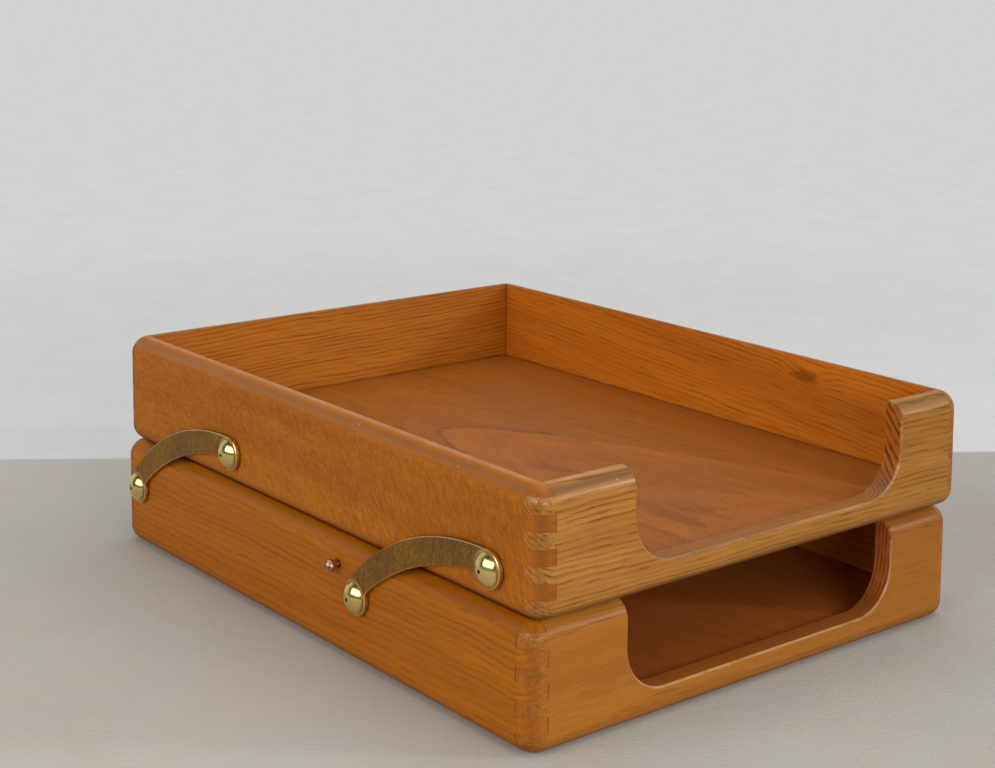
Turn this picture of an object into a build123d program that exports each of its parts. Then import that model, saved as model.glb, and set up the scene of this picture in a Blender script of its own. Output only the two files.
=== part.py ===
from build123d import *
import math
import os

# Two-tier wooden letter tray. Millimetres, +Z up, front towards -Y.
# The origin is the middle of the stack's footprint, on the surface it stands on.

# ---------------------------------------------------------------- tray boxes
tray_width = 260.0
tray_length = 343.0
tray_height = 55.0
board_thickness = 9.5
corner_radius = 10.0
rim_radius = 8.5
foot_radius = 8.0
inner_edge_break = 0.5

# ------------------------------------------------------- let-in floor panels
panel_thickness = 4.0
panel_top = 11.0
groove_depth = 4.0
panel_edge_gap = 0.3

# ------------------------------------------------- finger joints at corners
finger_pitch = 6.92
first_finger = 2.8

# ------------------------------------------------------------- front scoops
# Both sit a little to the right of the middle.
scoop_margin = 48.1
scoop_sill = 13.4
scoop_radius = 21.0
scoop_edge_break = 0.8
scoop_shift = 3.8

# -------------------------------------------------------- how the trays sit
stack_gap = 1.2
tray_offset = 4.0

# ---------------------------------------------------- parallelogram of arms
front_pivot_setback = 119.5
rear_pivot_setback = 20.0
pivot_height = 32.8
arm_reach = 94.6
arm_rise = 39.8
arm_outer_radius = 133.0
arm_inner_radius = 147.0
arm_inner_reach = 2.1
arm_thickness = 1.8
arm_end_radius = 8.2
arm_end_blend = 5.0
arm_edge_break = 0.35
raised_angle = 75.0

# ---------------------------------------------------- pivot screws, washers
shank_diameter = 4.0
shank_depth = 7.0
running_clearance = 0.08
end_play = 0.05
washer_diameter = 12.0
washer_thickness = 0.8
washer_clearance = 0.1
head_diameter = 14.2
head_rim = 0.5
head_height = 3.9
dimple_diameter = 1.5
dimple_depth = 1.1

# ---------------------------------------------------------------- stop pins
stop_distance = 19.6
stop_clearance = 0.25
stop_shank_diameter = 2.6
stop_shank_depth = 6.0
stop_head_diameter = 6.0
stop_head_rim = 0.6
stop_head_height = 3.6
stop_head_lift = 0.7
stop_slot_width = 0.9
stop_slot_depth = 1.0
stop_sink_diameter = 5.0
stop_sink_depth = 1.2

# ------------------------------------------------------------ derived places
inner_width = tray_width - 2 * board_thickness
inner_length = tray_length - 2 * board_thickness
side_face = tray_width / 2
upper_base = tray_height + stack_gap
lower_center = tray_offset / 2
upper_center = -tray_offset / 2
scoop_width = tray_width - 2 * scoop_margin
arm_inner_face = side_face + washer_thickness + end_play
arm_outer_face = arm_inner_face + arm_thickness
head_seat = arm_outer_face + end_play
front_pivot = lower_center - tray_length / 2 + front_pivot_setback
rear_pivot = lower_center + tray_length / 2 - rear_pivot_setback


def box_between(low, high):
    """A box given by two opposite corners."""
    sizes = [high[i] - low[i] for i in range(3)]
    middle = [(high[i] + low[i]) / 2 for i in range(3)]
    return Pos(*middle) * Box(*sizes)


# =============================================================== tray boxes
# All four boards of a tray are cut from one rounded ring, so that the
# roundings run on unbroken over the finger joints, as if sanded together.

def rounded_block():
    """Outer form of a tray: upright corners first, then rim and foot."""
    block = box_between(
        (-tray_width / 2, -tray_length / 2, 0),
        (tray_width / 2, tray_length / 2, tray_height),
    )
    block = fillet(block.edges().filter_by(Axis.Z), corner_radius)
    block = fillet(block.faces().sort_by(Axis.Z)[-1].edges(), rim_radius)
    return fillet(block.faces().sort_by(Axis.Z)[0].edges(), foot_radius)


def groove_pocket():
    """The room that the floor panel's four grooves take out of the boards."""
    half_width = inner_width / 2 + groove_depth
    half_length = inner_length / 2 + groove_depth
    return box_between(
        (-half_width, -half_length, panel_top - panel_thickness),
        (half_width, half_length, panel_top),
    )


def board_ring():
    """The four boards as one ring, open above and below the floor panel."""
    hollow = box_between(
        (-inner_width / 2, -inner_length / 2, 0),
        (inner_width / 2, inner_length / 2, tray_height),
    )
    ring = rounded_block() - hollow
    rim_edges = ring.faces().sort_by(Axis.Z)[-1].inner_wires()[0].edges()
    ring = chamfer(rim_edges, inner_edge_break)
    return ring - groove_pocket()


def scoop_cutter():
    """U-shaped opening of the front board: level sill and round corners."""
    top = 2 * tray_height
    opening = Rectangle(scoop_width, top - scoop_sill)
    outline = Pos(scoop_shift, (scoop_sill + top) / 2) * opening
    low_corners = outline.vertices().group_by(Axis.Y)[0]
    outline = fillet(low_corners, scoop_radius)
    slab = extrude(Plane.XZ * outline, 2 * board_thickness, both=True)
    return Pos(0, -tray_length / 2, 0) * slab


def end_board_region(toward):
    """Space of a front (-1) or back (+1) board with its fingers to the sides."""
    outer = toward * tray_length / 2
    inner = toward * inner_length / 2
    low_y = min(outer, inner)
    high_y = max(outer, inner)
    region = box_between(
        (-inner_width / 2, low_y, 0),
        (inner_width / 2, high_y, tray_height),
    )
    finger_bottom = first_finger
    while finger_bottom + finger_pitch < tray_height:
        region += box_between(
            (-tray_width / 2, low_y, finger_bottom),
            (tray_width / 2, high_y, finger_bottom + finger_pitch),
        )
        finger_bottom += 2 * finger_pitch
    return region


def side_board_region(toward):
    """Space of a left (-1) or right (+1) board, its full length."""
    outer = toward * tray_width / 2
    inner = toward * inner_width / 2
    return box_between(
        (min(outer, inner), -tray_length / 2, 0),
        (max(outer, inner), tray_length / 2, tray_height),
    )


def scooped_front(front):
    """Front board with its opening cut and the opening's edges eased."""
    front -= scoop_cutter()
    face_y = -tray_length / 2
    front_edges = [
        edge for edge in front.edges().filter_by_position(Axis.Y, face_y - 0.01, face_y + 0.01)
        if abs(edge.center().X - scoop_shift) < scoop_width / 2 + 0.01
        and edge.center().Z > scoop_sill - 0.01
        and edge.center().Z < tray_height - rim_radius
    ]
    return chamfer(front_edges, scoop_edge_break)


def tray_boards():
    """Named boards of one tray, standing on z = 0 with the middle at x = y = 0."""
    ring = board_ring()
    front_region = end_board_region(-1)
    back_region = end_board_region(1)
    both_ends = front_region + back_region
    return {
        "front": scooped_front(ring & front_region),
        "back": ring & back_region,
        "left_side": (ring & side_board_region(-1)) - both_ends,
        "right_side": (ring & side_board_region(1)) - both_ends,
    }


def floor_panel():
    """Loose panel in its grooves, a little short of their ends all round."""
    half_width = inner_width / 2 + groove_depth - panel_edge_gap
    half_length = inner_length / 2 + groove_depth - panel_edge_gap
    return box_between(
        (-half_width, -half_length, panel_top - panel_thickness),
        (half_width, half_length, panel_top),
    )


# ================================================================ swing arms
# Profiles are drawn in the side plane, with (0, 0) at the arm's lower pivot,
# the first axis towards the back (+Y) and the second upwards (+Z).

side_plane = Plane(origin=(0, 0, 0), x_dir=(0, 1, 0), z_dir=(1, 0, 0))
arm_chord = math.hypot(arm_reach, arm_rise)
arm_slope = math.atan2(arm_rise, arm_reach)
outer_center_reach = arm_outer_radius - arm_end_radius
inner_center_reach = arm_inner_radius + arm_inner_reach


def from_front(distance, angle):
    """Point at an angle counted from straight forward (-Y) up and over."""
    return (-distance * math.cos(angle), distance * math.sin(angle))


def around_pivot(distance, angle):
    """Point at an angle about the right pivot of an arm drawn level."""
    return (arm_chord / 2 + distance * math.cos(angle), distance * math.sin(angle))


def mirrored(point):
    return (-point[0], point[1])


def level_outline():
    """The arm drawn level about its middle. Its outer edge runs smoothly into
    the round ends, and its inner edge passes just under the pivots."""
    outer_drop = math.sqrt(outer_center_reach ** 2 - (arm_chord / 2) ** 2)
    inner_drop = math.sqrt(inner_center_reach ** 2 - (arm_chord / 2) ** 2)
    outer_angle = math.atan2(outer_drop, arm_chord / 2)
    inner_angle = math.pi + math.atan2(inner_drop, arm_chord / 2)
    cosine = arm_end_radius ** 2 + inner_center_reach ** 2 - arm_inner_radius ** 2
    cosine /= 2 * arm_end_radius * inner_center_reach
    neck_angle = inner_angle - math.acos(cosine) - 2 * math.pi
    outer_end = around_pivot(arm_end_radius, outer_angle)
    tip = around_pivot(arm_end_radius, (outer_angle + neck_angle) / 2)
    neck = around_pivot(arm_end_radius, neck_angle)
    outline = make_face(
        [
            ThreePointArc(mirrored(outer_end), (0, arm_outer_radius - outer_drop), outer_end),
            ThreePointArc(outer_end, tip, neck),
            ThreePointArc(neck, (0, arm_inner_radius - inner_drop), mirrored(neck)),
            ThreePointArc(mirrored(neck), mirrored(tip), mirrored(outer_end)),
        ]
    )
    necks = outline.vertices().group_by(Axis.Y)[0]
    return fillet(necks, arm_end_blend)


def arm_outline():
    """The arm in its place at rest, from the lower pivot up to the front."""
    middle = Pos(-arm_reach / 2, arm_rise / 2)
    return middle * Rot(0, 0, -math.degrees(arm_slope)) * level_outline()


def swing_arm():
    """Flat curved arm with a pivot hole in each end and an eased outer edge."""
    plate = extrude(side_plane * arm_outline(), arm_thickness)
    plate = chamfer(plate.faces().sort_by(Axis.X)[0].edges(), arm_edge_break)
    hole = Circle(shank_diameter / 2 + running_clearance)
    holes = hole + Pos(-arm_reach, arm_rise) * hole
    return plate - extrude(side_plane * holes, arm_thickness)


# ====================================================== screws, washers, pins
# Turned pieces: half profiles in (outwards, radius), spun about the line of
# the pivot. Outwards is counted from the tray's side face.

def turned(profile_points, crown_start, crown_apex):
    """A closed half profile whose crown is one arc, spun about its axis."""
    rise = crown_apex[0] - crown_start[0]
    crown_radius = (crown_start[1] ** 2 + rise ** 2) / (2 * rise)
    crown_middle = crown_apex[0] - crown_radius
    half_turn = math.asin(min(1.0, crown_start[1] / crown_radius)) / 2
    on_crown = (
        crown_middle + crown_radius * math.cos(half_turn),
        crown_radius * math.sin(half_turn),
    )
    crown = ThreePointArc(crown_start, on_crown, crown_apex)
    rest = Polyline(crown_apex, *profile_points, crown_start)
    return revolve(make_face([crown, rest]), Axis.X)


def domed_piece(seat, shank_radius, depth, head_radius, rim, height):
    """Shank let into the wood, and a domed head seated some way out."""
    points = [
        (-depth, 0),
        (-depth, shank_radius),
        (seat, shank_radius),
        (seat, head_radius),
    ]
    return turned(points, (seat + rim, head_radius), (seat + height, 0))


def pivot_screw():
    """Domed screw that an arm turns on, with a small dimple in its crown."""
    seat = head_seat - side_face
    screw = domed_piece(
        seat, shank_diameter / 2, shank_depth, head_diameter / 2, head_rim, head_height
    )
    apex = seat + head_height
    dimple = Pos(apex - dimple_depth / 2, 0, 0) * Rot(0, 90, 0) * Cone(
        dimple_diameter / 4, dimple_diameter / 2, dimple_depth
    )
    return screw - dimple


def stop_pin():
    """Round-headed screw, slotted upright, that the raised front arm meets."""
    seat = arm_outer_face - side_face + stop_head_lift
    pin = domed_piece(
        seat,
        stop_shank_diameter / 2,
        stop_shank_depth,
        stop_head_diameter / 2,
        stop_head_rim,
        stop_head_height,
    )
    slot = box_between(
        (seat + stop_head_height - stop_slot_depth, -stop_slot_width / 2, -stop_head_diameter),
        (seat + 2 * stop_head_height, stop_slot_width / 2, stop_head_diameter),
    )
    return pin - slot


def washer():
    """Thin spacer between the tray's side and an arm."""
    ring = Circle(washer_diameter / 2) - Circle(shank_diameter / 2 + washer_clearance)
    return extrude(side_plane * ring, washer_thickness)


def stop_pin_offset():
    """Place of the stop pin from the front pivot, where the raised arm's edge
    ends a clearance short of the pin's shank."""
    edge_reach = arm_outer_radius + stop_clearance + stop_shank_diameter / 2
    cosine = outer_center_reach ** 2 + stop_distance ** 2 - edge_reach ** 2
    cosine /= 2 * outer_center_reach * stop_distance
    center_angle = arm_slope - math.acos(arm_chord / 2 / outer_center_reach)
    center_angle += math.radians(raised_angle)
    return from_front(stop_distance, center_angle + math.acos(cosine))


def hole_in_side(diameter, depth):
    """Blind hole, bored inwards from the tray's side face."""
    return Pos(-depth / 2, 0, 0) * Rot(0, 90, 0) * Cylinder(diameter / 2, depth)


# =============================================================== assembly
# Each piece is made for the right side with outwards along +X, then placed
# at the side face. The left side mirrors it.

def on_side(piece, side, y, z):
    """Piece placed at the side face, mirrored for the left side (-1)."""
    placed = Pos(side_face, y, z) * piece
    return placed if side > 0 else mirror(placed, Plane.YZ)


stop_y, stop_z = stop_pin_offset()
lower_pivots = {"front": front_pivot, "rear": rear_pivot}
sides = {"left": -1, "right": 1}
screw_hole = hole_in_side(shank_diameter, shank_depth)
stop_sink = Pos(-stop_sink_depth / 2, 0, 0) * Rot(0, 90, 0) * Cone(
    stop_shank_diameter / 2, stop_sink_diameter / 2, stop_sink_depth
)
stop_hole = hole_in_side(stop_shank_diameter, stop_shank_depth) + stop_sink
arm_place = arm_inner_face - side_face

parts = {}
boards = tray_boards()
panel = floor_panel()
for tier, center, base in (("lower", lower_center, 0.0), ("upper", upper_center, upper_base)):
    for name, board in boards.items():
        parts[f"{tier}_tray_{name}"] = Pos(0, center, base) * board
    parts[f"{tier}_tray_floor"] = Pos(0, center, base) * panel

# The arm's plate is drawn with its eased edge inwards, so it is turned over.
flat_arm = mirror(swing_arm(), Plane.YZ)
arm_blank = Pos(arm_place + arm_thickness, 0, 0) * flat_arm
for side_name, side in sides.items():
    for end, y in lower_pivots.items():
        parts[f"{side_name}_{end}_arm"] = on_side(arm_blank, side, y, pivot_height)
        seats = (
            ("lower", y, pivot_height),
            ("upper", y - arm_reach, pivot_height + arm_rise),
        )
        for tier, seat_y, seat_z in seats:
            label = f"{side_name}_{end}_{tier}"
            parts[f"{label}_pivot_screw"] = on_side(pivot_screw(), side, seat_y, seat_z)
            parts[f"{label}_washer"] = on_side(washer(), side, seat_y, seat_z)
            board = f"{tier}_tray_{side_name}_side"
            parts[board] -= on_side(screw_hole, side, seat_y, seat_z)
    stop_place = (front_pivot + stop_y, pivot_height + stop_z)
    parts[f"{side_name}_stop_pin"] = on_side(stop_pin(), side, *stop_place)
    parts[f"lower_tray_{side_name}_side"] -= on_side(stop_hole, side, *stop_place)

os.makedirs("parts", exist_ok=True)
for name, solid in parts.items():
    export_step(solid, f"parts/{name}.step")
print("stop pin from front pivot:", round(stop_y, 2), round(stop_z, 2))
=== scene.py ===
import math

import bpy
from mathutils import Matrix, Vector

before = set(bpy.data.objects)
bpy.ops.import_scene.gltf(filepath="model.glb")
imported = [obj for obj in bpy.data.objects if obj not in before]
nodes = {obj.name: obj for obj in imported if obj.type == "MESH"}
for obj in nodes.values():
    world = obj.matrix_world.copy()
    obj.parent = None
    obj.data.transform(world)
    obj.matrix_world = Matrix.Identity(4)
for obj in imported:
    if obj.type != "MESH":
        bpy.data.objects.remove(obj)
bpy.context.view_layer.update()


# ---------------------------------------------------------------- the camera
# Stands three quarters of a metre off the tray's front left corner, a foot
# above the floor. The picture is the lower part of a taller one, so the lens
# is shifted, and the camera is turned a trace out of level.

camera_place = Vector((-0.56734, -0.69874, 0.32542))
camera_azimuth = math.radians(-38.39)
camera_elevation = math.radians(7.08)
camera_roll = math.radians(0.357)
focal_pixels = 1834.85
image_width, image_height = 995, 768
centre_row = 157.5
sensor_width = 36.0

camera_data = bpy.data.cameras.new("camera")
camera_data.sensor_width = sensor_width
camera_data.lens = focal_pixels / image_width * sensor_width
camera_data.shift_y = (centre_row - image_height / 2) / image_width
camera_data.clip_start = 0.01
camera_data.clip_end = 50.0
camera = bpy.data.objects.new("camera", camera_data)
camera.matrix_world = (
    Matrix.Translation(camera_place)
    @ Matrix.Rotation(camera_azimuth, 4, "Z")
    @ Matrix.Rotation(math.pi / 2 - camera_elevation, 4, "X")
    @ Matrix.Rotation(camera_roll, 4, "Z")
)
bpy.context.scene.collection.objects.link(camera)
bpy.context.scene.camera = camera


# ------------------------------------------------------- the surface it's on
# A plain pale floor, smooth and matt. Past a line behind the tray it turns
# to the paler tone of a wall, so that the view has a quiet horizon.

class Socket:
    """A shader socket, with sums and products written as on numbers."""

    def __init__(self, finish, link):
        self.finish = finish
        self.link = link

    def combine(self, operation, first, second=0.0):
        return self.finish.node("ShaderNodeMath", {"operation": operation}, {0: first, 1: second})

    def __add__(self, other):
        return self.combine("ADD", self, other)

    def __sub__(self, other):
        return self.combine("SUBTRACT", self, other)

    def __rsub__(self, other):
        return self.combine("SUBTRACT", other, self)

    def __mul__(self, other):
        return self.combine("MULTIPLY", self, other)

    def __truediv__(self, other):
        return self.combine("DIVIDE", self, other)

    def __abs__(self):
        return self.combine("ABSOLUTE", self)

    __radd__ = __add__
    __rmul__ = __mul__

    def larger(self, other):
        return self.combine("MAXIMUM", self, other)

    def smaller(self, other):
        return self.combine("MINIMUM", self, other)

    def fraction(self):
        return self.combine("FRACT", self)

    def rise(self, low, high):
        """0 below low, 1 above high, smooth between them."""
        values = {"Value": self, "From Min": low, "From Max": high}
        return self.finish.node("ShaderNodeMapRange", {"interpolation_type": "SMOOTHSTEP"}, values)

    def fall(self, low, high):
        """1 below low, 0 above high, smooth between them."""
        return 1.0 - self.rise(low, high)


class Finish:
    """A material made of one surface shader and the nodes that feed it."""

    def __init__(self, name, **constants):
        self.material = bpy.data.materials.new(name)
        self.material.use_nodes = True
        self.tree = self.material.node_tree
        self.surface = self.tree.nodes["Principled BSDF"]
        for socket, value in constants.items():
            self.surface.inputs[socket.replace("_", " ")].default_value = value

    def node(self, kind, settings, values, output=0):
        """Adds a node, sets it, fills its sockets and returns one output."""
        made = self.tree.nodes.new(kind)
        for name, value in settings.items():
            setattr(made, name, value)
        for name, value in values.items():
            if isinstance(value, Socket):
                self.tree.links.new(value.link, made.inputs[name])
            else:
                made.inputs[name].default_value = value
        return Socket(self, made.outputs[output])

    def place(self, offset=(0, 0, 0), turn=(0, 0, 0)):
        """Object coordinates, turned by degrees and then moved."""
        where = self.node("ShaderNodeTexCoord", {}, {}, "Object")
        turn = tuple(math.radians(angle) for angle in turn)
        values = {"Vector": where, "Location": offset, "Rotation": turn}
        return self.node("ShaderNodeMapping", {}, values)

    def vector(self, operation, first, second=(0, 0, 0), output=0):
        values = {0: first, 1: second}
        return self.node("ShaderNodeVectorMath", {"operation": operation}, values, output)

    def along(self, where, axis):
        """One coordinate of a place: 0 for X, 1 for Y, 2 for Z."""
        return self.node("ShaderNodeSeparateXYZ", {}, {0: where}, axis)

    def noise(self, where, pitch, detail=2.0, roughness=0.5, distortion=0.0):
        """Noise from 0 to 1; pitch is its grain along X, Y and Z, in metres."""
        values = {
            "Vector": self.vector("DIVIDE", where, pitch), "Scale": 1.0,
            "Detail": detail, "Roughness": roughness, "Distortion": distortion,
        }
        return self.node("ShaderNodeTexNoise", {}, values, "Fac")

    def mix(self, factor, first, second):
        """Mixes two colours."""
        values = {0: factor}
        for socket, color in ((6, first), (7, second)):
            values[socket] = color if isinstance(color, Socket) else (*color, 1.0)
        return self.node("ShaderNodeMix", {"data_type": "RGBA"}, values, 2)

    def scale(self, color, brightness):
        """Makes a colour brighter or darker."""
        values = {0: color, "Scale": brightness}
        return self.node("ShaderNodeVectorMath", {"operation": "SCALE"}, values)

    def normal(self):
        return self.node("ShaderNodeTexCoord", {}, {}, "Normal")

    def rounding(self):
        """0 on faces square to an axis, and more where an edge is rounded."""
        sides = [abs(self.along(self.normal(), axis)) for axis in range(3)]
        return 1.0 - sides[0].larger(sides[1]).larger(sides[2])

    def feed(self, socket, value):
        self.tree.links.new(value.link, self.surface.inputs[socket])

    def bump(self, height, distance, strength):
        values = {"Height": height, "Distance": distance, "Strength": strength}
        self.feed("Normal", self.node("ShaderNodeBump", {}, values))


floor_tone = (0.450, 0.435, 0.402)
floor_warm_tone = (0.468, 0.425, 0.378)
wall_tone = (0.69, 0.70, 0.685)
wall_side = Vector((0.5818, 0.8133, 0))
wall_line = 0.2128
wall_softness = 0.0035
right_side = Vector((0.784, -0.62, 0))
painted_right_shade, painted_rear_light = 0.19, 0.10
floor_reach = 12.0
studio_near, studio_far = 0.45, 1.1
far_glow = 0.93

bpy.ops.object.select_all(action="DESELECT")
bpy.ops.mesh.primitive_plane_add(size=2 * floor_reach, location=(0, 0, 0))
floor = bpy.context.object
floor.name = "floor"
paint = Finish("floor_matt", Roughness=0.8, Specular_IOR_Level=0.2)
ahead = paint.vector("DOT_PRODUCT", paint.place(), wall_side, "Value")
beyond = ahead.rise(wall_line - wall_softness, wall_line + wall_softness)
clouding = paint.noise(paint.place(), (0.05, 0.05, 0.05), 4.0, 0.6)
speckle = paint.noise(paint.place(), (0.0015, 0.0015, 0.0015), 3.0, 0.75)
brushing = paint.noise(paint.place(turn=(0, 0, 40)), (0.012, 0.0018, 0.01), 3.0, 0.7)
unevenness = 0.83 + 0.12 * clouding + 0.12 * speckle + 0.10 * brushing
warmth = paint.noise(paint.place((3.0, 0, 0)), (0.09, 0.09, 0.09), 3.0, 0.6).rise(0.35, 0.65)
ground = paint.mix(warmth, floor_tone, floor_warm_tone)
rightwards = paint.vector("DOT_PRODUCT", paint.place(), right_side, "Value").rise(-0.1, 0.5)
# Painted light and shade on the floor short of the wall line: lighter towards the rear, darker to
# the right.
painted_shading = painted_rear_light * ahead.rise(0.02, 0.2) - painted_right_shade * rightwards
unevenness = unevenness * (1.0 + painted_shading * (1.0 - beyond))
floor_color = paint.scale(paint.mix(beyond, ground, wall_tone), unevenness)
paint.feed("Base Color", floor_color)
paint.bump(speckle + brushing, 0.0005, 0.5)
distance = paint.vector("LENGTH", paint.place(), output="Value")
rays = [
    paint.node("ShaderNodeLightPath", {}, {}, f"Is {kind} Ray")
    for kind in ("Camera", "Glossy", "Transmission")
]
backdrop = distance.rise(studio_near, studio_far) * rays[0].larger(rays[1]).larger(rays[2])
glow = paint.node("ShaderNodeEmission", {}, {"Color": floor_color, "Strength": far_glow})
both = paint.node(
    "ShaderNodeMixShader", {},
    {0: backdrop, 1: Socket(paint, paint.surface.outputs[0]), 2: glow},
)
paint.tree.links.new(both.link, paint.tree.nodes["Material Output"].inputs["Surface"])
floor.data.materials.append(paint.material)


# ----------------------------------------------------------------- the light
# Daylight from a wide window on the left with a darker wall round it, a wide
# low lamp in front, a small one at the front right, a large one overhead, and
# an even pale room.

def soft_lamp(name, direction, distance, width, height, watts):
    aim = Vector(direction).normalized()
    place = tray_middle + aim * distance
    lamp_data = bpy.data.lights.new(name, "AREA")
    lamp_data.shape = "RECTANGLE"
    lamp_data.size = width
    lamp_data.size_y = height
    lamp_data.energy = watts
    lamp = bpy.data.objects.new(name, lamp_data)
    facing = aim.to_track_quat("Z", "Y").to_matrix().to_4x4()
    lamp.matrix_world = Matrix.Translation(place) @ facing
    bpy.context.scene.collection.objects.link(lamp)


tray_middle = Vector((0, 0, 0.07))
window_side = Vector((-0.89, -0.09, 0.42)).normalized()
soft_lamp("window", window_side, 1.9, 2.0, 0.9, 20)
soft_lamp("low_lamp", (-0.1, -0.96, 0.25), 2.0, 2.0, 0.4, 22)
soft_lamp("far_lamp", (0.64, -0.69, 0.33), 2.4, 0.30, 0.30, 15)
soft_lamp("overhead", (0.1, 0.05, 1.0), 2.2, 2.2, 2.2, 13)

room_tone = (0.60, 0.605, 0.60, 1)
wall_round_window = 0.06
dark_from, dark_to = 0.45, 0.75
world = bpy.data.worlds.new("room")
bpy.context.scene.world = world
world.use_nodes = True
room = world.node_tree
background = room.nodes["Background"]
background.inputs["Color"].default_value = room_tone
outlook = room.nodes.new("ShaderNodeTexCoord")
nearness = room.nodes.new("ShaderNodeVectorMath")
nearness.operation = "DOT_PRODUCT"
nearness.inputs[1].default_value = window_side
shading = room.nodes.new("ShaderNodeMapRange")
shading.interpolation_type = "SMOOTHSTEP"
shading.inputs["From Min"].default_value = dark_from
shading.inputs["From Max"].default_value = dark_to
shading.inputs["To Min"].default_value = 1.0
shading.inputs["To Max"].default_value = wall_round_window
room.links.new(outlook.outputs["Generated"], nearness.inputs[0])
room.links.new(nearness.outputs["Value"], shading.inputs["Value"])
room.links.new(shading.outputs["Result"], background.inputs["Strength"])
bpy.context.scene.view_settings.view_transform = "Standard"


# ----------------------------------------------------------- the side boards
# Oak, planed, cut with fingers at both ends, stained honey brown and
# lacquered to a satin shine. The grain runs along the tray; the outer face
# of the upper left board is figured with short slanting strokes.

tray_bases = {"lower": 0.0, "upper": 0.0562}
tray_middles = {"lower": 0.002, "upper": -0.002}
first_finger, finger_pitch = 0.0028, 0.00692
side_finger_root, end_finger_root = 0.1620, 0.1205
board_inner_face = 0.1206
side_inner_corner = (0.1610, 0.1617)
panel_height = 0.011
flank_ends = (0.112, 0.118)
upper_rim_heights = (0.099, 0.105)
top_heights = (0.1095, 0.1105)
sill_heights = (0.040, 0.045)
seam_height = 0.0556

pore_tone = (0.15, 0.042, 0.006)
rim_wear_sheen_tone = (0.52, 0.27, 0.13)
rim_wear_sheen = 0.6
rim_polish = {"lower": 0.25, "upper": 0.75}
corner_shade = 0.18
painted_sill_shade = (0.33, 0.085, 0.015)
sill_shade_depth = {"lower": 0.6, "upper": 0.3}
speck_tone = (0.75, 0.50, 0.30)
seam_shadow_tone = (0.55, 0.085, 0.010)
seam_width = {"lower": 0.0009, "upper": 0.0020}
seam_shadow_tint, seam_shade = 0.7, 0.5
seam_reach = {"lower": 0.0048, "upper": 0.0056}
seam_painted_gain = {"lower": 0.3, "upper": -0.50}
gap_strength = {"lower": 0.12, "upper": 0.45}
flank_ring = 95.0
lengthwise = (0, 0, -90)


class Wood(Finish):
    """Solid oak whose rings, pores and fibres run through the whole board."""

    def __init__(self, name, grain_turn, offset, waviness):
        super().__init__(name, IOR=1.45, Specular_IOR_Level=0.14, Coat_Roughness=0.24)
        self.grain_axis = Vector((0, 1, 0)) if grain_turn[2] else Vector((1, 0, 0))
        straight = self.place(offset, grain_turn)
        stretched = self.vector("DIVIDE", straight, (0.02, 0.006, 0.006))
        values = {"Vector": stretched, "Scale": 1.0, "Detail": 2.0}
        sway = self.node("ShaderNodeTexNoise", {}, values, "Color")
        sway = self.vector("SUBTRACT", sway, (0.5, 0.5, 0.5))
        sway = self.vector("MULTIPLY", sway, (0, waviness, waviness))
        self.timber = self.vector("ADD", straight, sway)

    def reach(self, wander):
        """Distance from the pith of the trunk, drifting a little."""
        painted_shading = self.noise(self.timber, (0.11, 0.03, 0.03), 2.0, 0.5) - 0.5
        cross = self.vector("MULTIPLY", self.timber, (0, 1, 1))
        return self.vector("LENGTH", cross, output="Value") + painted_shading * wander

    def end_grain(self):
        """1 where the cut is across the grain."""
        across = abs(self.vector("DOT_PRODUCT", self.normal(), self.grain_axis, "Value"))
        return across.rise(0.4, 0.9)


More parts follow.
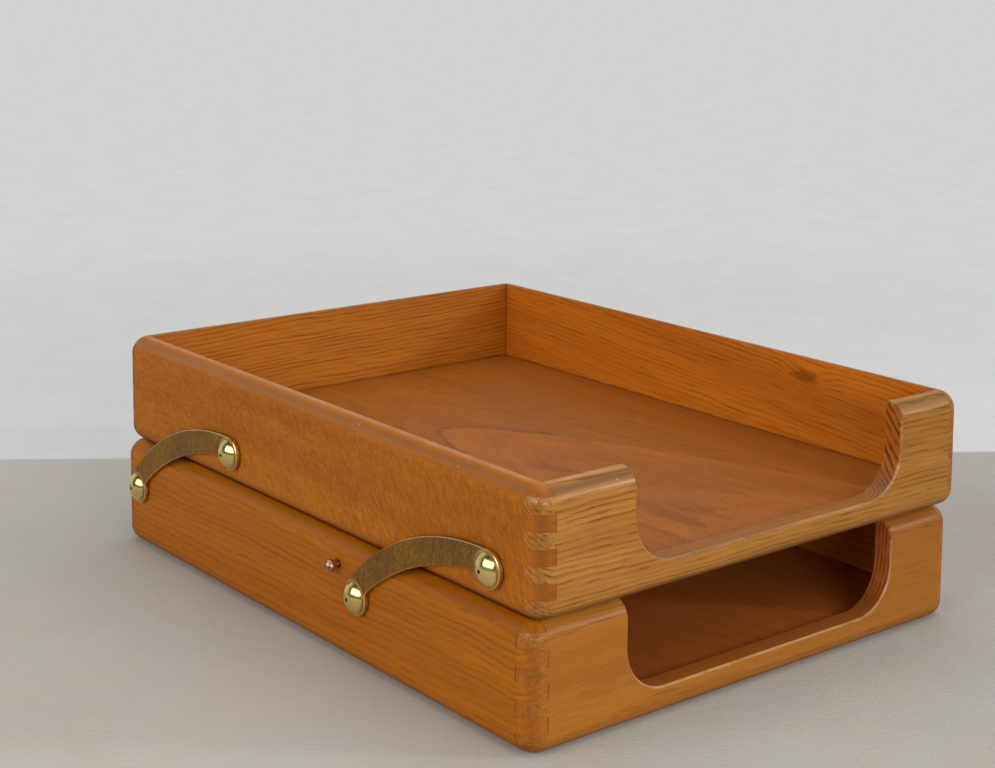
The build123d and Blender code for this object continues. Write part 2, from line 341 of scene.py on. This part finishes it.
def oak(
    name, grain_turn, offset, light, dark, line_tone, inside=None, inside_painted_light=1.0,
    ring_spacing=0.003, ring_wander=0.008, ring_depth=0.5, ring_push=None, streak_width=0.0009,
    waviness=0.0015, pore_depth=0.5, pore_length=0.022, pore_width=0.0005,
    fibre_size=(0.02, 0.0006), fibre_depth=0.5,
    end_tone=None, end_depth=0.7, end_rings=0.25, finger_depth=0.7, flank_stretch=0.0,
    figure=None, joint=None, joint_depth=0.6, rim_shade=0.30, rim_shading=None, edge_highlight=None,
):
    """Oak for one board. `inside` gives 1 on its inner faces, which `inside_painted_light`
    brightens as painted light, `joint` 1 in the gaps of its joints and `edge_highlight` up to 1
    where an edge has a painted highlight. `figure` brightens or darkens, `ring_push` moves the
    rings, and `rim_shading` gives the rim a painted shade that changes along it instead of
    `rim_shade`."""
    wood = Wood(name, grain_turn, offset, waviness)
    here = wood.place()
    tier = "upper" if "upper" in name else "lower"
    broad = wood.noise(wood.timber, (0.22, 0.016, 0.016), 3.0, 0.6)
    color = wood.mix(broad.rise(0.25, 0.75), dark, light)

    reach = wood.reach(ring_wander)
    if ring_push:
        reach = reach + ring_push(wood, here)
    ends = wood.end_grain()
    on_flank = abs(wood.along(here, 0)).fall(*flank_ends)
    rings = reach / ring_spacing
    if flank_stretch:
        rings = rings + (flank_ring - rings) * flank_stretch * ends * on_flank
    phase = rings.fraction()
    early = phase.fall(0.02, 0.7) * phase.rise(0.0, 0.03)
    streak = wood.noise(wood.timber, (0.05, streak_width, streak_width), 2.0, 0.65)
    season = wood.noise(wood.timber, (0.5, 0.005, 0.005), 1.0, 0.5).rise(0.3, 0.65)
    dash = wood.noise(wood.timber, (pore_length, pore_width, pore_width), 1.0, 0.5)
    pores = dash.rise(0.55, 0.66) * (0.3 + 0.7 * early) * (1.0 - 0.8 * ends)
    lines = early * (0.35 + 0.65 * season) * streak.rise(0.32, 0.6).larger(0.9 * ends * on_flank)
    finger_end = (on_flank * (end_depth - finger_depth) + finger_depth) * ends
    color = wood.mix(finger_end, color, end_tone or line_tone)
    color = wood.mix(lines * ring_depth, color, line_tone)
    color = wood.mix(pores * pore_depth, color, pore_tone)

    fibre = wood.noise(wood.timber, (fibre_size[0], fibre_size[1], fibre_size[1]), 3.0, 0.65)
    brightness = 1.0 + fibre_depth * (fibre - 0.5)
    if figure:
        brightness = brightness * figure(wood, here)
    if inside:
        # Inner faces brightened: painted light.
        brightness = brightness * (1.0 + (inside_painted_light - 1.0) * inside(wood, here))
    brightness = brightness * (1.0 - end_rings * ends * early * on_flank * (0.2 + 0.8 * season))
    if joint:
        brightness = brightness * (1.0 - joint_depth * joint(wood, here))

    edges = wood.rounding().rise(0.02, 0.26)
    height = wood.along(here, 2)
    upper_rim = height.rise(*upper_rim_heights)
    up = wood.along(wood.normal(), 2)
    # The flat top of the upper rim turns paler and pinker: rubbed wear with a painted sheen.
    rub = wood.noise(here, (0.02, 0.02, 0.02), 3.0, 0.65).rise(0.3, 0.7)
    worn_sheen = up.rise(0.93, 0.995) * height.rise(*top_heights) * (0.5 + 0.5 * rub)
    # Painted shade: the up-facing roundings of the rims and the sideways rounded corners are
    # darkened.
    shaded_rim = up.rise(0.25, 0.85) * (1.0 - worn_sheen) * edges
    corner = edges * up.fall(0.1, 0.5)
    shade = rim_shading(wood, here) if rim_shading else rim_shade
    brightness = brightness * (1.0 - shade * shaded_rim)
    brightness = brightness * (1.0 - corner_shade * corner)
    # Up-facing faces below the rim get a darker, redder tint: painted shade with painted reflected
    # red light.
    shaded_sill = up.rise(0.3, 0.9) * (height - tray_bases[tier]).fall(*sill_heights)
    color = wood.mix(sill_shade_depth[tier] * shaded_sill, color, painted_sill_shade)
    color = wood.mix(worn_sheen * rim_wear_sheen, color, rim_wear_sheen_tone)
    # A pale line on the scoop's eased edge: a painted highlight over rubbed stain.
    if edge_highlight:
        color = wood.mix(edge_highlight(wood, here), color, scoop_highlight_tone)
    speck = wood.noise(here, (0.0017, 0.0017, 0.0017), 0.0, 0.5).rise(0.83, 0.86)
    color = wood.mix(speck * edges * upper_rim, color, speck_tone)
    # At the gap between the trays: a painted shadow in the gap, painted light on the lower tray's
    # roundings beside it and painted shade on the upper tray's.
    from_seam = abs(height - seam_height)
    beside_seam = from_seam.fall(0.0010, seam_reach[tier]) * edges
    seam_shadow = from_seam.fall(0.0008, seam_width[tier])
    color = wood.mix(seam_shadow_tint * seam_shadow, color, seam_shadow_tone)
    brightness = brightness * (1.0 + seam_painted_gain[tier] * beside_seam) * (1.0 - seam_shade * seam_shadow)
    wood.feed("Base Color", wood.scale(color, brightness))

    smear = wood.noise(here, (0.05, 0.05, 0.05), 3.0, 0.6)
    wood.feed("Roughness", 0.42 + 0.18 * smear + 0.15 * pores)
    slanting = (0.3 + 0.7 * up.rise(0.1, 0.5)) * (1.0 - 0.6 * up.rise(0.6, 0.95))
    wood.feed("Coat Weight", 0.04 + rim_polish[tier] * edges * (1.0 - seam_shadow) * slanting)
    wood.bump(0.4 * fibre - pores - 0.2 * lines, 0.00012, 0.6)
    return wood


def inside_of_side(wood, here):
    return abs(wood.along(here, 0)).fall(board_inner_face, board_inner_face + 0.0003)


def finger_gaps(wood, here, tier, past_root, past_end):
    """Hairlines round the fingers of a corner joint, open here and there."""
    on_finger = past_root.rise(-0.0001, 0.0001)
    row = ((wood.along(here, 2) - tray_bases[tier] - first_finger) / finger_pitch).fraction()
    between_rows = abs(row - 0.5).rise(0.470, 0.495) * gap_strength[tier]
    ragged = wood.noise(here, (0.004, 0.004, 0.003), 2.0, 0.6).rise(0.3, 0.6)
    at_end = abs(past_end).fall(0.00015, 0.0005) * (0.45 + 0.55 * ragged)
    return on_finger * at_end.larger(between_rows)


def inner_gaps(wood, here, tier, corner):
    """The dark line in an inner corner, and a broken one along the panel."""
    above_panel = wood.along(here, 2) - tray_bases[tier] - panel_height
    broken = wood.noise(here, (0.02, 0.02, 0.02), 3.0, 0.6).rise(0.4, 0.6)
    return (0.8 * corner).larger(above_panel.fall(0.0004, 0.0011) * (0.3 + 0.6 * broken))


def side_joint(tier):
    def gaps(wood, here):
        lengthways = abs(wood.along(here, 1) - tray_middles[tier])
        across = abs(wood.along(here, 0))
        past_root, past_end = lengthways - side_finger_root, across - end_finger_root
        outside = finger_gaps(wood, here, tier, past_root, past_end)
        in_corner = inner_gaps(wood, here, tier, lengthways.rise(*side_inner_corner))
        return outside.larger(inside_of_side(wood, here) * in_corner)
    return gaps


ripple_heart = (0, 0.19, -0.09)


def ripple(wood, here):
    """Short strokes on arcs round a point low behind the tray, so that they
    lie along the grain at the rear and stand up towards the front."""
    from_heart = wood.vector("MULTIPLY", wood.vector("SUBTRACT", here, ripple_heart), (0, 1, 1))
    radius = wood.vector("LENGTH", from_heart, output="Value")
    turn = wood.node(
        "ShaderNodeMath", {"operation": "ARCTAN2"},
        {0: wood.along(from_heart, 2), 1: wood.along(from_heart, 1)},
    )
    arc_place = {0: radius, 1: turn * 0.25, 2: wood.along(here, 0)}
    on_arc = wood.node("ShaderNodeCombineXYZ", {}, arc_place)
    strokes = wood.noise(on_arc, (0.0011, 0.0048, 0.02), 2.0, 0.6, 1.1)
    clouds = wood.noise(here, (0.02, 0.02, 0.02), 2.0, 0.5)
    flat = wood.rounding().fall(0.01, 0.12) * wood.along(wood.normal(), 2).fall(0.3, 0.7)
    return 0.98 + flat * (0.46 * strokes.rise(0.30, 0.70) - 0.23) + 0.12 * (clouds - 0.5)


knot_place = (0.1205, -0.0835, 0.1013)
knot_size = (0.02, 0.011, 0.0028)
knot_surround = (0.02, 0.016, 0.006)


def from_knot(wood, here, size):
    """Distance from the knot, 1 at the given half sizes."""
    away = wood.vector("DIVIDE", wood.vector("SUBTRACT", here, knot_place), size)
    return wood.vector("LENGTH", away, output="Value")


def knot_push(wood, here):
    """Rings pushed aside round a small knot in the right-hand board."""
    return 0.004 * from_knot(wood, here, knot_surround).fall(0.2, 1.6)


def knot_figure(wood, here):
    ragged = wood.noise(here, (0.006, 0.006, 0.002), 3.0, 0.6) - 0.5
    return 1.0 - 0.5 * (from_knot(wood, here, knot_size) + ragged * 1.6).fall(0.35, 1.25)


side_light = (0.44, 0.134, 0.004)
side_dark = (0.352, 0.098, 0.003)
low_side_light = (0.46, 0.138, 0.003)
low_side_dark = (0.368, 0.101, 0.002)
right_light = (0.44, 0.127, 0.0075)
right_dark = (0.35, 0.093, 0.005)
side_line = (0.20, 0.052, 0.004)
side_end = (0.225, 0.066, 0.006)
low_end = (0.31, 0.095, 0.010)

woods = {
    "upper_tray_left_side": oak(
        "oak_upper_left", lengthwise, (0.0, 0.02, 0.35), side_light, side_dark, side_line,
        inside_of_side, 1.2, ring_spacing=0.0035, ring_wander=0.01, ring_depth=0.12,
        pore_depth=0.12, fibre_size=(0.006, 0.0009), fibre_depth=0.25, end_tone=side_end,
        finger_depth=0.8, figure=ripple, joint=side_joint("upper"),
    ),
    "upper_tray_right_side": oak(
        "oak_upper_right", (-4.5, 0, -90), (0.7, 0.14, 0.02), right_light, right_dark, side_line,
        inside_of_side, 1.35, ring_spacing=0.0026, ring_wander=0.010, ring_depth=0.75,
        ring_push=knot_push, pore_depth=0.7, end_tone=side_end, figure=knot_figure,
        joint=side_joint("upper"), joint_depth=0.4,
    ),
    "lower_tray_left_side": oak(
        "oak_lower_left", lengthwise, (1.3, -0.02, 0.12), low_side_light, low_side_dark,
        side_line, inside_of_side, 1.2, ring_spacing=0.0028, ring_depth=0.55, pore_depth=0.6,
        pore_length=0.014, fibre_size=(0.014, 0.0005), fibre_depth=1.2, end_tone=low_end,
        finger_depth=0.9, joint=side_joint("lower"), joint_depth=0.85,
    ),
    "lower_tray_right_side": oak(
        "oak_lower_right", lengthwise, (2.1, 0.05, -0.10), low_side_light, low_side_dark,
        side_line, inside_of_side, 1.5, ring_wander=0.01, end_tone=low_end, finger_depth=0.9,
        joint=side_joint("lower"),
    ),
}


# ------------------------------------------------- the front and back boards
# Shorter oak boards of the same stock, their grain across the tray. The
# front ones are a lighter, yellower cut with open pores and are scooped out.

end_inner_face = 0.1621
end_inner_corner = (0.1196, 0.1203)
corner_from = (0.1195, 0.1235)
scoop_reach = (0.095, 0.100)
scoop_heights = (0.0475, 0.048)
seam_rounding = (0.009, 0.0095)
scoop_highlight_tone = (0.52, 0.27, 0.11)
front_light = (0.366, 0.165, 0.033)
front_dark = (0.290, 0.112, 0.017)
front_line = (0.185, 0.060, 0.006)
front_end = (0.45, 0.108, 0.007)
low_front_light = (0.318, 0.116, 0.013)
low_front_dark = (0.276, 0.087, 0.007)
low_front_end = (0.56, 0.140, 0.028)
back_light = (0.325, 0.100, 0.006)
back_dark = (0.265, 0.075, 0.004)
back_line = (0.14, 0.036, 0.003)


def inside_of_end(tier):
    def mask(wood, here):
        reach = abs(wood.along(here, 1) - tray_middles[tier])
        return reach.fall(end_inner_face, end_inner_face + 0.0003)
    return mask


def end_joint(tier):
    def gaps(wood, here):
        lengthways = abs(wood.along(here, 1) - tray_middles[tier])
        across = abs(wood.along(here, 0))
        past_root, past_end = across - end_finger_root, lengthways - side_finger_root
        outside = finger_gaps(wood, here, tier, past_root, past_end)
        in_corner = inner_gaps(wood, here, tier, across.rise(*end_inner_corner))
        return outside.larger(inside_of_end(tier)(wood, here) * in_corner)
    return gaps


def corner_flame(wood, here):
    """Wavy, lens-shaped end grain where the fingers wrap round a corner."""
    corner = abs(wood.along(here, 0)).rise(*corner_from)
    waves = wood.noise(here, (0.0045, 0.0045, 0.0012), 3.0, 0.6, 1.5)
    return 1.0 + corner * (0.44 * waves.rise(0.3, 0.7) - 0.27)


def scoop_edge_highlight(wood, here):
    """The eased edge of the scoop, paler: a painted highlight over stain rubbed thin."""
    from_seam = abs(wood.along(here, 2) - seam_height)
    tilt = abs(abs(wood.along(wood.normal(), 1)) - 0.707).fall(0.01, 0.04)
    on_scoop = tilt * abs(wood.along(here, 0)).fall(*scoop_reach) * from_seam.fall(*scoop_heights)
    rub = wood.noise(here, (0.01, 0.01, 0.01), 3.0, 0.6).rise(0.3, 0.6)
    return on_scoop * from_seam.rise(*seam_rounding) * (0.25 + 0.45 * rub)


def front_shading(wood, here):
    """Painted light, paler towards the left end and darker to the right, with the figured corners.
    """
    return corner_flame(wood, here) * (1.06 - 0.17 * wood.along(here, 0).rise(-0.13, 0.13))


def front_rim_shading(wood, here):
    """A painted shade on the upper rim, darkest on the left."""
    return 0.55 - 0.25 * wood.along(here, 0).rise(-0.05, 0.05)


woods["upper_tray_front"] = oak(
    "oak_upper_front", (0, 0, 0), (3.2, 0.30, -0.20), front_light, front_dark, front_line,
    inside_of_end("upper"), 1.1, ring_spacing=0.0018, ring_wander=0.006, ring_depth=1.0,
    pore_depth=0.8, pore_length=0.018, pore_width=0.0004, streak_width=0.0006, fibre_depth=0.7,
    end_tone=front_end, end_depth=0.8, finger_depth=0.35, end_rings=0.62, flank_stretch=0.45,
    figure=front_shading, edge_highlight=scoop_edge_highlight, rim_shading=front_rim_shading,
    joint=end_joint("upper"), joint_depth=0.45,
)
woods["lower_tray_front"] = oak(
    "oak_lower_front", (0, 0, 0), (4.6, 0.45, -0.03), low_front_light, low_front_dark,
    front_line, inside_of_end("lower"), 1.1, ring_spacing=0.0021, ring_wander=0.004,
    ring_depth=0.55, pore_depth=0.4, pore_length=0.014, fibre_size=(0.015, 0.0005),
    fibre_depth=0.7, end_tone=low_front_end, end_depth=0.9, finger_depth=0.1, end_rings=0.55,
    waviness=0.0006, figure=front_shading, edge_highlight=scoop_edge_highlight, rim_shade=0.15,
    joint=end_joint("lower"), joint_depth=0.8,
)
woods["upper_tray_back"] = oak(
    "oak_upper_back", (0, 1.0, 0), (5.4, -0.10, 0.03), back_light, back_dark, back_line,
    inside_of_end("upper"), 1.20, ring_spacing=0.0022, ring_depth=1.0, pore_depth=0.7,
    end_tone=side_end, figure=corner_flame, joint=end_joint("upper"),
)
woods["lower_tray_back"] = oak(
    "oak_lower_back", (0, 0, 0), (6.1, -0.08, 0.02), back_light, back_dark, side_line,
    inside_of_end("lower"), 1.6, ring_spacing=0.0025, ring_wander=0.010, ring_depth=0.6,
    end_tone=side_end, figure=corner_flame, joint=end_joint("lower"),
)


# ---------------------------------------------------------- the floor panels
# Thin veneered panels let into grooves in the boards, smoother and browner
# than the boards, with the tall flames of a plain-sawn veneer.

panel_light = (0.348, 0.114, 0.010)
panel_dark = (0.286, 0.086, 0.006)
panel_line = (0.17, 0.048, 0.006)
low_panel_light = (0.425, 0.117, 0.023)
low_panel_dark = (0.35, 0.090, 0.016)
foot_shade = {"lower": 0.3, "upper": 0.65}
right_painted_light = 0.45
flame_tip = (-0.009, 0.048)
flame_slant, flame_bluntness = 0.19, 55.0
dark_tongues = (
    ((0.030, 0.003), 0.55, 0.055), ((-0.003, -0.058), 0.45, 0.045),
    ((-0.012, -0.085), 0.1, 0.030), ((-0.014, -0.150), 0.05, 0.060),
    ((0.002, -0.150), 0.1, 0.050),
)
tongue_bluntness = 900.0


def panel_foot_shade(wood, here, tier):
    """Darker along the foot of the boards: painted shade where the panel meets them."""
    across = abs(wood.along(here, 0)).rise(0.1188, 0.1203)
    along = abs(wood.along(here, 1) - tray_middles[tier]).rise(0.1603, 0.1619)
    return 1.0 - foot_shade[tier] * across.larger(along)


def low_panel_shading(wood, here):
    """Painted light: the lower panel is lighter along its right side."""
    rightwards = wood.along(here, 0).rise(0.06, 0.12)
    return (1.0 + right_painted_light * rightwards) * panel_foot_shade(wood, here, "lower")


def panel_flame(wood, here):
    """One pale flame of the veneer, pointing to the rear, with a dark edge."""
    back = flame_tip[1] - wood.along(here, 1)
    aside = wood.along(here, 0) - flame_tip[0] - flame_slant * back
    ragged = wood.noise(here, (0.014, 0.03, 0.03), 3.0, 0.6) - 0.5
    inside = back - flame_bluntness * aside * aside + 0.03 * ragged
    pale = inside.rise(0.0, 0.003) * inside.fall(0.03, 0.09)
    broken = wood.noise(here, (0.01, 0.01, 0.01)).rise(0.3, 0.6)
    outline = abs(inside + 0.001).fall(0.0006, 0.0026) * broken
    gain = panel_foot_shade(wood, here, "upper") * (1.0 + 0.14 * pale - 0.28 * outline)
    for tip, slant, reach in dark_tongues:
        behind = wood.along(here, 1) - tip[1]
        aside = wood.along(here, 0) - tip[0] + slant * behind
        inside = behind - tongue_bluntness * aside * aside + 0.012 * ragged
        gain = gain * (1.0 - 0.20 * inside.rise(0.0, 0.002) * behind.fall(0.4 * reach, reach))
    return gain


woods["upper_tray_floor"] = oak(
    "veneer_upper", (5.2, 0, -90), (7.3, 0.003, 0.0460), panel_light, panel_dark, panel_line,
    ring_spacing=0.00405, ring_wander=0.005, ring_depth=0.38, pore_depth=0.25,
    end_tone=side_end, end_depth=0.3, fibre_depth=0.8, waviness=0.003, figure=panel_flame,
)
woods["lower_tray_floor"] = oak(
    "veneer_lower", (3.0, 0, -90), (8.9, -0.02, 0.09), low_panel_light, low_panel_dark,
    panel_line, ring_spacing=0.0036, ring_depth=0.4, pore_depth=0.35,
    end_tone=side_end, end_depth=0.3, figure=low_panel_shading,
)


def dress(name, finish):
    node = nodes[name]
    node.data.materials.clear()
    node.data.materials.append(finish.material)


for name, wood in woods.items():
    dress(name, wood)


# ------------------------------------------------------------------- the arms
# Flat brass arms, cut from sheet and brushed crosswise, browned with age and
# rubbed bright along their eased edges.

arm_olive = (0.335, 0.168, 0.026)
arm_brown = (0.26, 0.132, 0.040)
arm_bright = (0.80, 0.50, 0.25)
arm_gold = (0.66, 0.46, 0.17)
front_pivot = Vector((0, -0.050, 0.0328))
rear_pivot = Vector((0, 0.1535, 0.0328))
upper_from_lower = Vector((0, -0.0946, 0.0398))
pivots = [
    pivot + rise for pivot in (front_pivot, rear_pivot) for rise in (Vector(), upper_from_lower)
]
worn_ring = (0.0078, 0.0088)


def from_axis(finish, here, pivot):
    """Distance from the axis that runs across the tray through a pivot."""
    away = finish.vector("MULTIPLY", finish.vector("SUBTRACT", here, pivot), (0, 1, 1))
    return finish.vector("LENGTH", away, output="Value")


aged_brass = Finish("aged_brass", Metallic=1.0)
here = aged_brass.place()
patches = aged_brass.noise(here, (0.03, 0.022, 0.022), 3.0, 0.6)
brushed = aged_brass.noise(here, (0.001, 0.0006, 0.006), 3.0, 0.7)
mottle = aged_brass.noise(here, (0.0014, 0.0014, 0.0014), 2.0, 0.7)
specks = aged_brass.noise(here, (0.0016, 0.0016, 0.0016), 2.0, 0.6).rise(0.70, 0.78)
edges = aged_brass.rounding().rise(0.05, 0.2)
color = aged_brass.mix(patches.rise(0.3, 0.7), arm_brown, arm_olive)
tarnish = 0.52 + 0.55 * brushed.rise(0.3, 0.7) + 0.42 * mottle.rise(0.3, 0.7)
color = aged_brass.scale(color, tarnish)
color = aged_brass.mix(specks * 0.4, color, arm_bright)
from_pivot = from_axis(aged_brass, here, pivots[0])
for pivot in pivots[1:]:
    from_pivot = from_pivot.smaller(from_axis(aged_brass, here, pivot))
color = aged_brass.mix(0.7 * from_pivot.fall(*worn_ring), color, arm_gold)
color = aged_brass.mix(edges * (0.65 + 0.35 * patches.rise(0.3, 0.7)), color, arm_bright)
aged_brass.feed("Base Color", color)
aged_brass.feed("Roughness", 0.5 - 0.2 * edges + 0.12 * (brushed - 0.5))
aged_brass.bump(brushed, 0.00004, 0.5)
for name in nodes:
    if name.endswith("_arm"):
        dress(name, aged_brass)


# --------------------------------------------------- pivot screws and washers
# Domed brass screws, turned and polished, each with a small dimple in its
# crown that has gone dark. A plain brass washer spaces each arm off the wood.

screw_brass = (0.80, 0.63, 0.25)
screw_tarnish = (0.45, 0.31, 0.07)
dimple_dirt = (0.02, 0.012, 0.005)
dimple_edge = (0.0007, 0.0010)
dome_rim = (0.0062, 0.0071)
washer_dark = (0.30, 0.19, 0.06)
washer_light = (0.50, 0.35, 0.13)

for end, lower_pivot in (("front", front_pivot), ("rear", rear_pivot)):
    for tier, pivot in (("lower", lower_pivot), ("upper", lower_pivot + upper_from_lower)):
        polish = Finish(f"polished_{end}_{tier}", Metallic=1.0)
        here = polish.place()
        from_crown = from_axis(polish, here, pivot)
        dirt = from_crown.fall(*dimple_edge)
        rim = from_crown.rise(*dome_rim)
        tarnish = polish.noise(here, (0.004, 0.004, 0.004), 3.0, 0.6)
        dulled = (tarnish - 0.35).larger(0.0) * 0.8 + 0.35 * rim
        color = polish.mix(dulled, screw_brass, screw_tarnish)
        polish.feed("Base Color", polish.mix(dirt, color, dimple_dirt))
        polish.feed("Roughness", 0.14 + 0.10 * tarnish + 0.5 * dirt)
        polish.bump(polish.noise(here, (0.001, 0.001, 0.001), 2.0), 0.00003, 0.3)
        for hand in ("left", "right"):
            dress(f"{hand}_{end}_{tier}_pivot_screw", polish)

plain_brass = Finish("plain_brass", Metallic=1.0)
here = plain_brass.place()
turning = plain_brass.noise(here, (0.002, 0.0006, 0.0006), 2.0, 0.6)
plain_brass.feed("Base Color", plain_brass.mix(turning, washer_dark, washer_light))
plain_brass.feed("Roughness", 0.3 + 0.2 * turning)
plain_brass.bump(turning, 0.00003, 0.4)
for name in nodes:
    if name.endswith("_washer"):
        dress(name, plain_brass)


# -------------------------------------------------------------- the stop pins
# Slotted round-head screws, browned to a copper tone, one behind each front
# arm. The raised arm comes to rest against its shank.

pin_copper = (0.72, 0.42, 0.26)
pin_brown = (0.30, 0.14, 0.07)
copper = Finish("browned_copper", Metallic=1.0)
here = copper.place()
tarnish = copper.noise(here, (0.002, 0.002, 0.002), 3.0, 0.6)
copper.feed("Base Color", copper.mix(tarnish.rise(0.3, 0.7), pin_brown, pin_copper))
copper.feed("Roughness", 0.28 + 0.2 * tarnish)
copper.bump(tarnish, 0.00005, 0.4)
for hand in ("left", "right"):
    dress(f"{hand}_stop_pin", copper)
